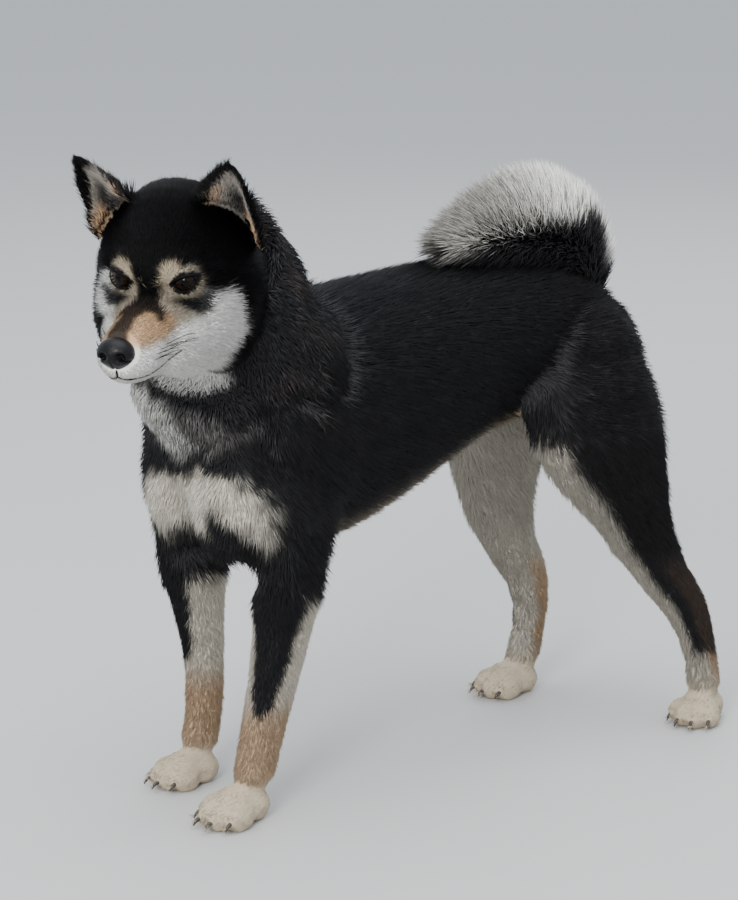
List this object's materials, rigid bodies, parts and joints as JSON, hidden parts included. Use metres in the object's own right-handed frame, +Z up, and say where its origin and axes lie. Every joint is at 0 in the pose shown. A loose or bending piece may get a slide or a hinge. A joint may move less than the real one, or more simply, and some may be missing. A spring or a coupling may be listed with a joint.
{
  "type": "shiba inu, standing (still life-size animal model)",
  "caption": "Life-size standing shiba inu, black and tan, head turned to its left and tail curled over the back, resting on four flat-soled paws.",
  "frame": {"origin": "on the floor, under the middle of the bounding box", "axes": "+Z up, the dog faces -Y, its left side is at +X"},
  "size_m": [0.2144, 0.603, 0.5107],
  "materials": {
    "black_coat": "near-black double coat, plush, with a soft sheen",
    "cream_coat": "short cream and tan fur, matt",
    "silver_coat": "long stand-off tail hair, silver grey with black beneath",
    "nose_leather": "black pebbled skin, moist",
    "dark_eye": "dark brown iris under a clear wet cornea"
  },
  "bodies": {
    "root": {"head": "black_coat", "neck": "black_coat", "torso": "black_coat", "tail": "silver_coat", "nose": "nose_leather", "ear_left": "black_coat", "ear_right": "black_coat", "eye_left": "dark_eye", "eye_right": "dark_eye", "foreleg_left": "black_coat", "foreleg_right": "black_coat", "forepaw_left": "cream_coat", "forepaw_right": "cream_coat", "thigh_left": "black_coat", "thigh_right": "black_coat", "hindleg_left": "black_coat", "hindleg_right": "black_coat", "hindpaw_left": "cream_coat", "hindpaw_right": "cream_coat"}
  },
  "joints": []
}
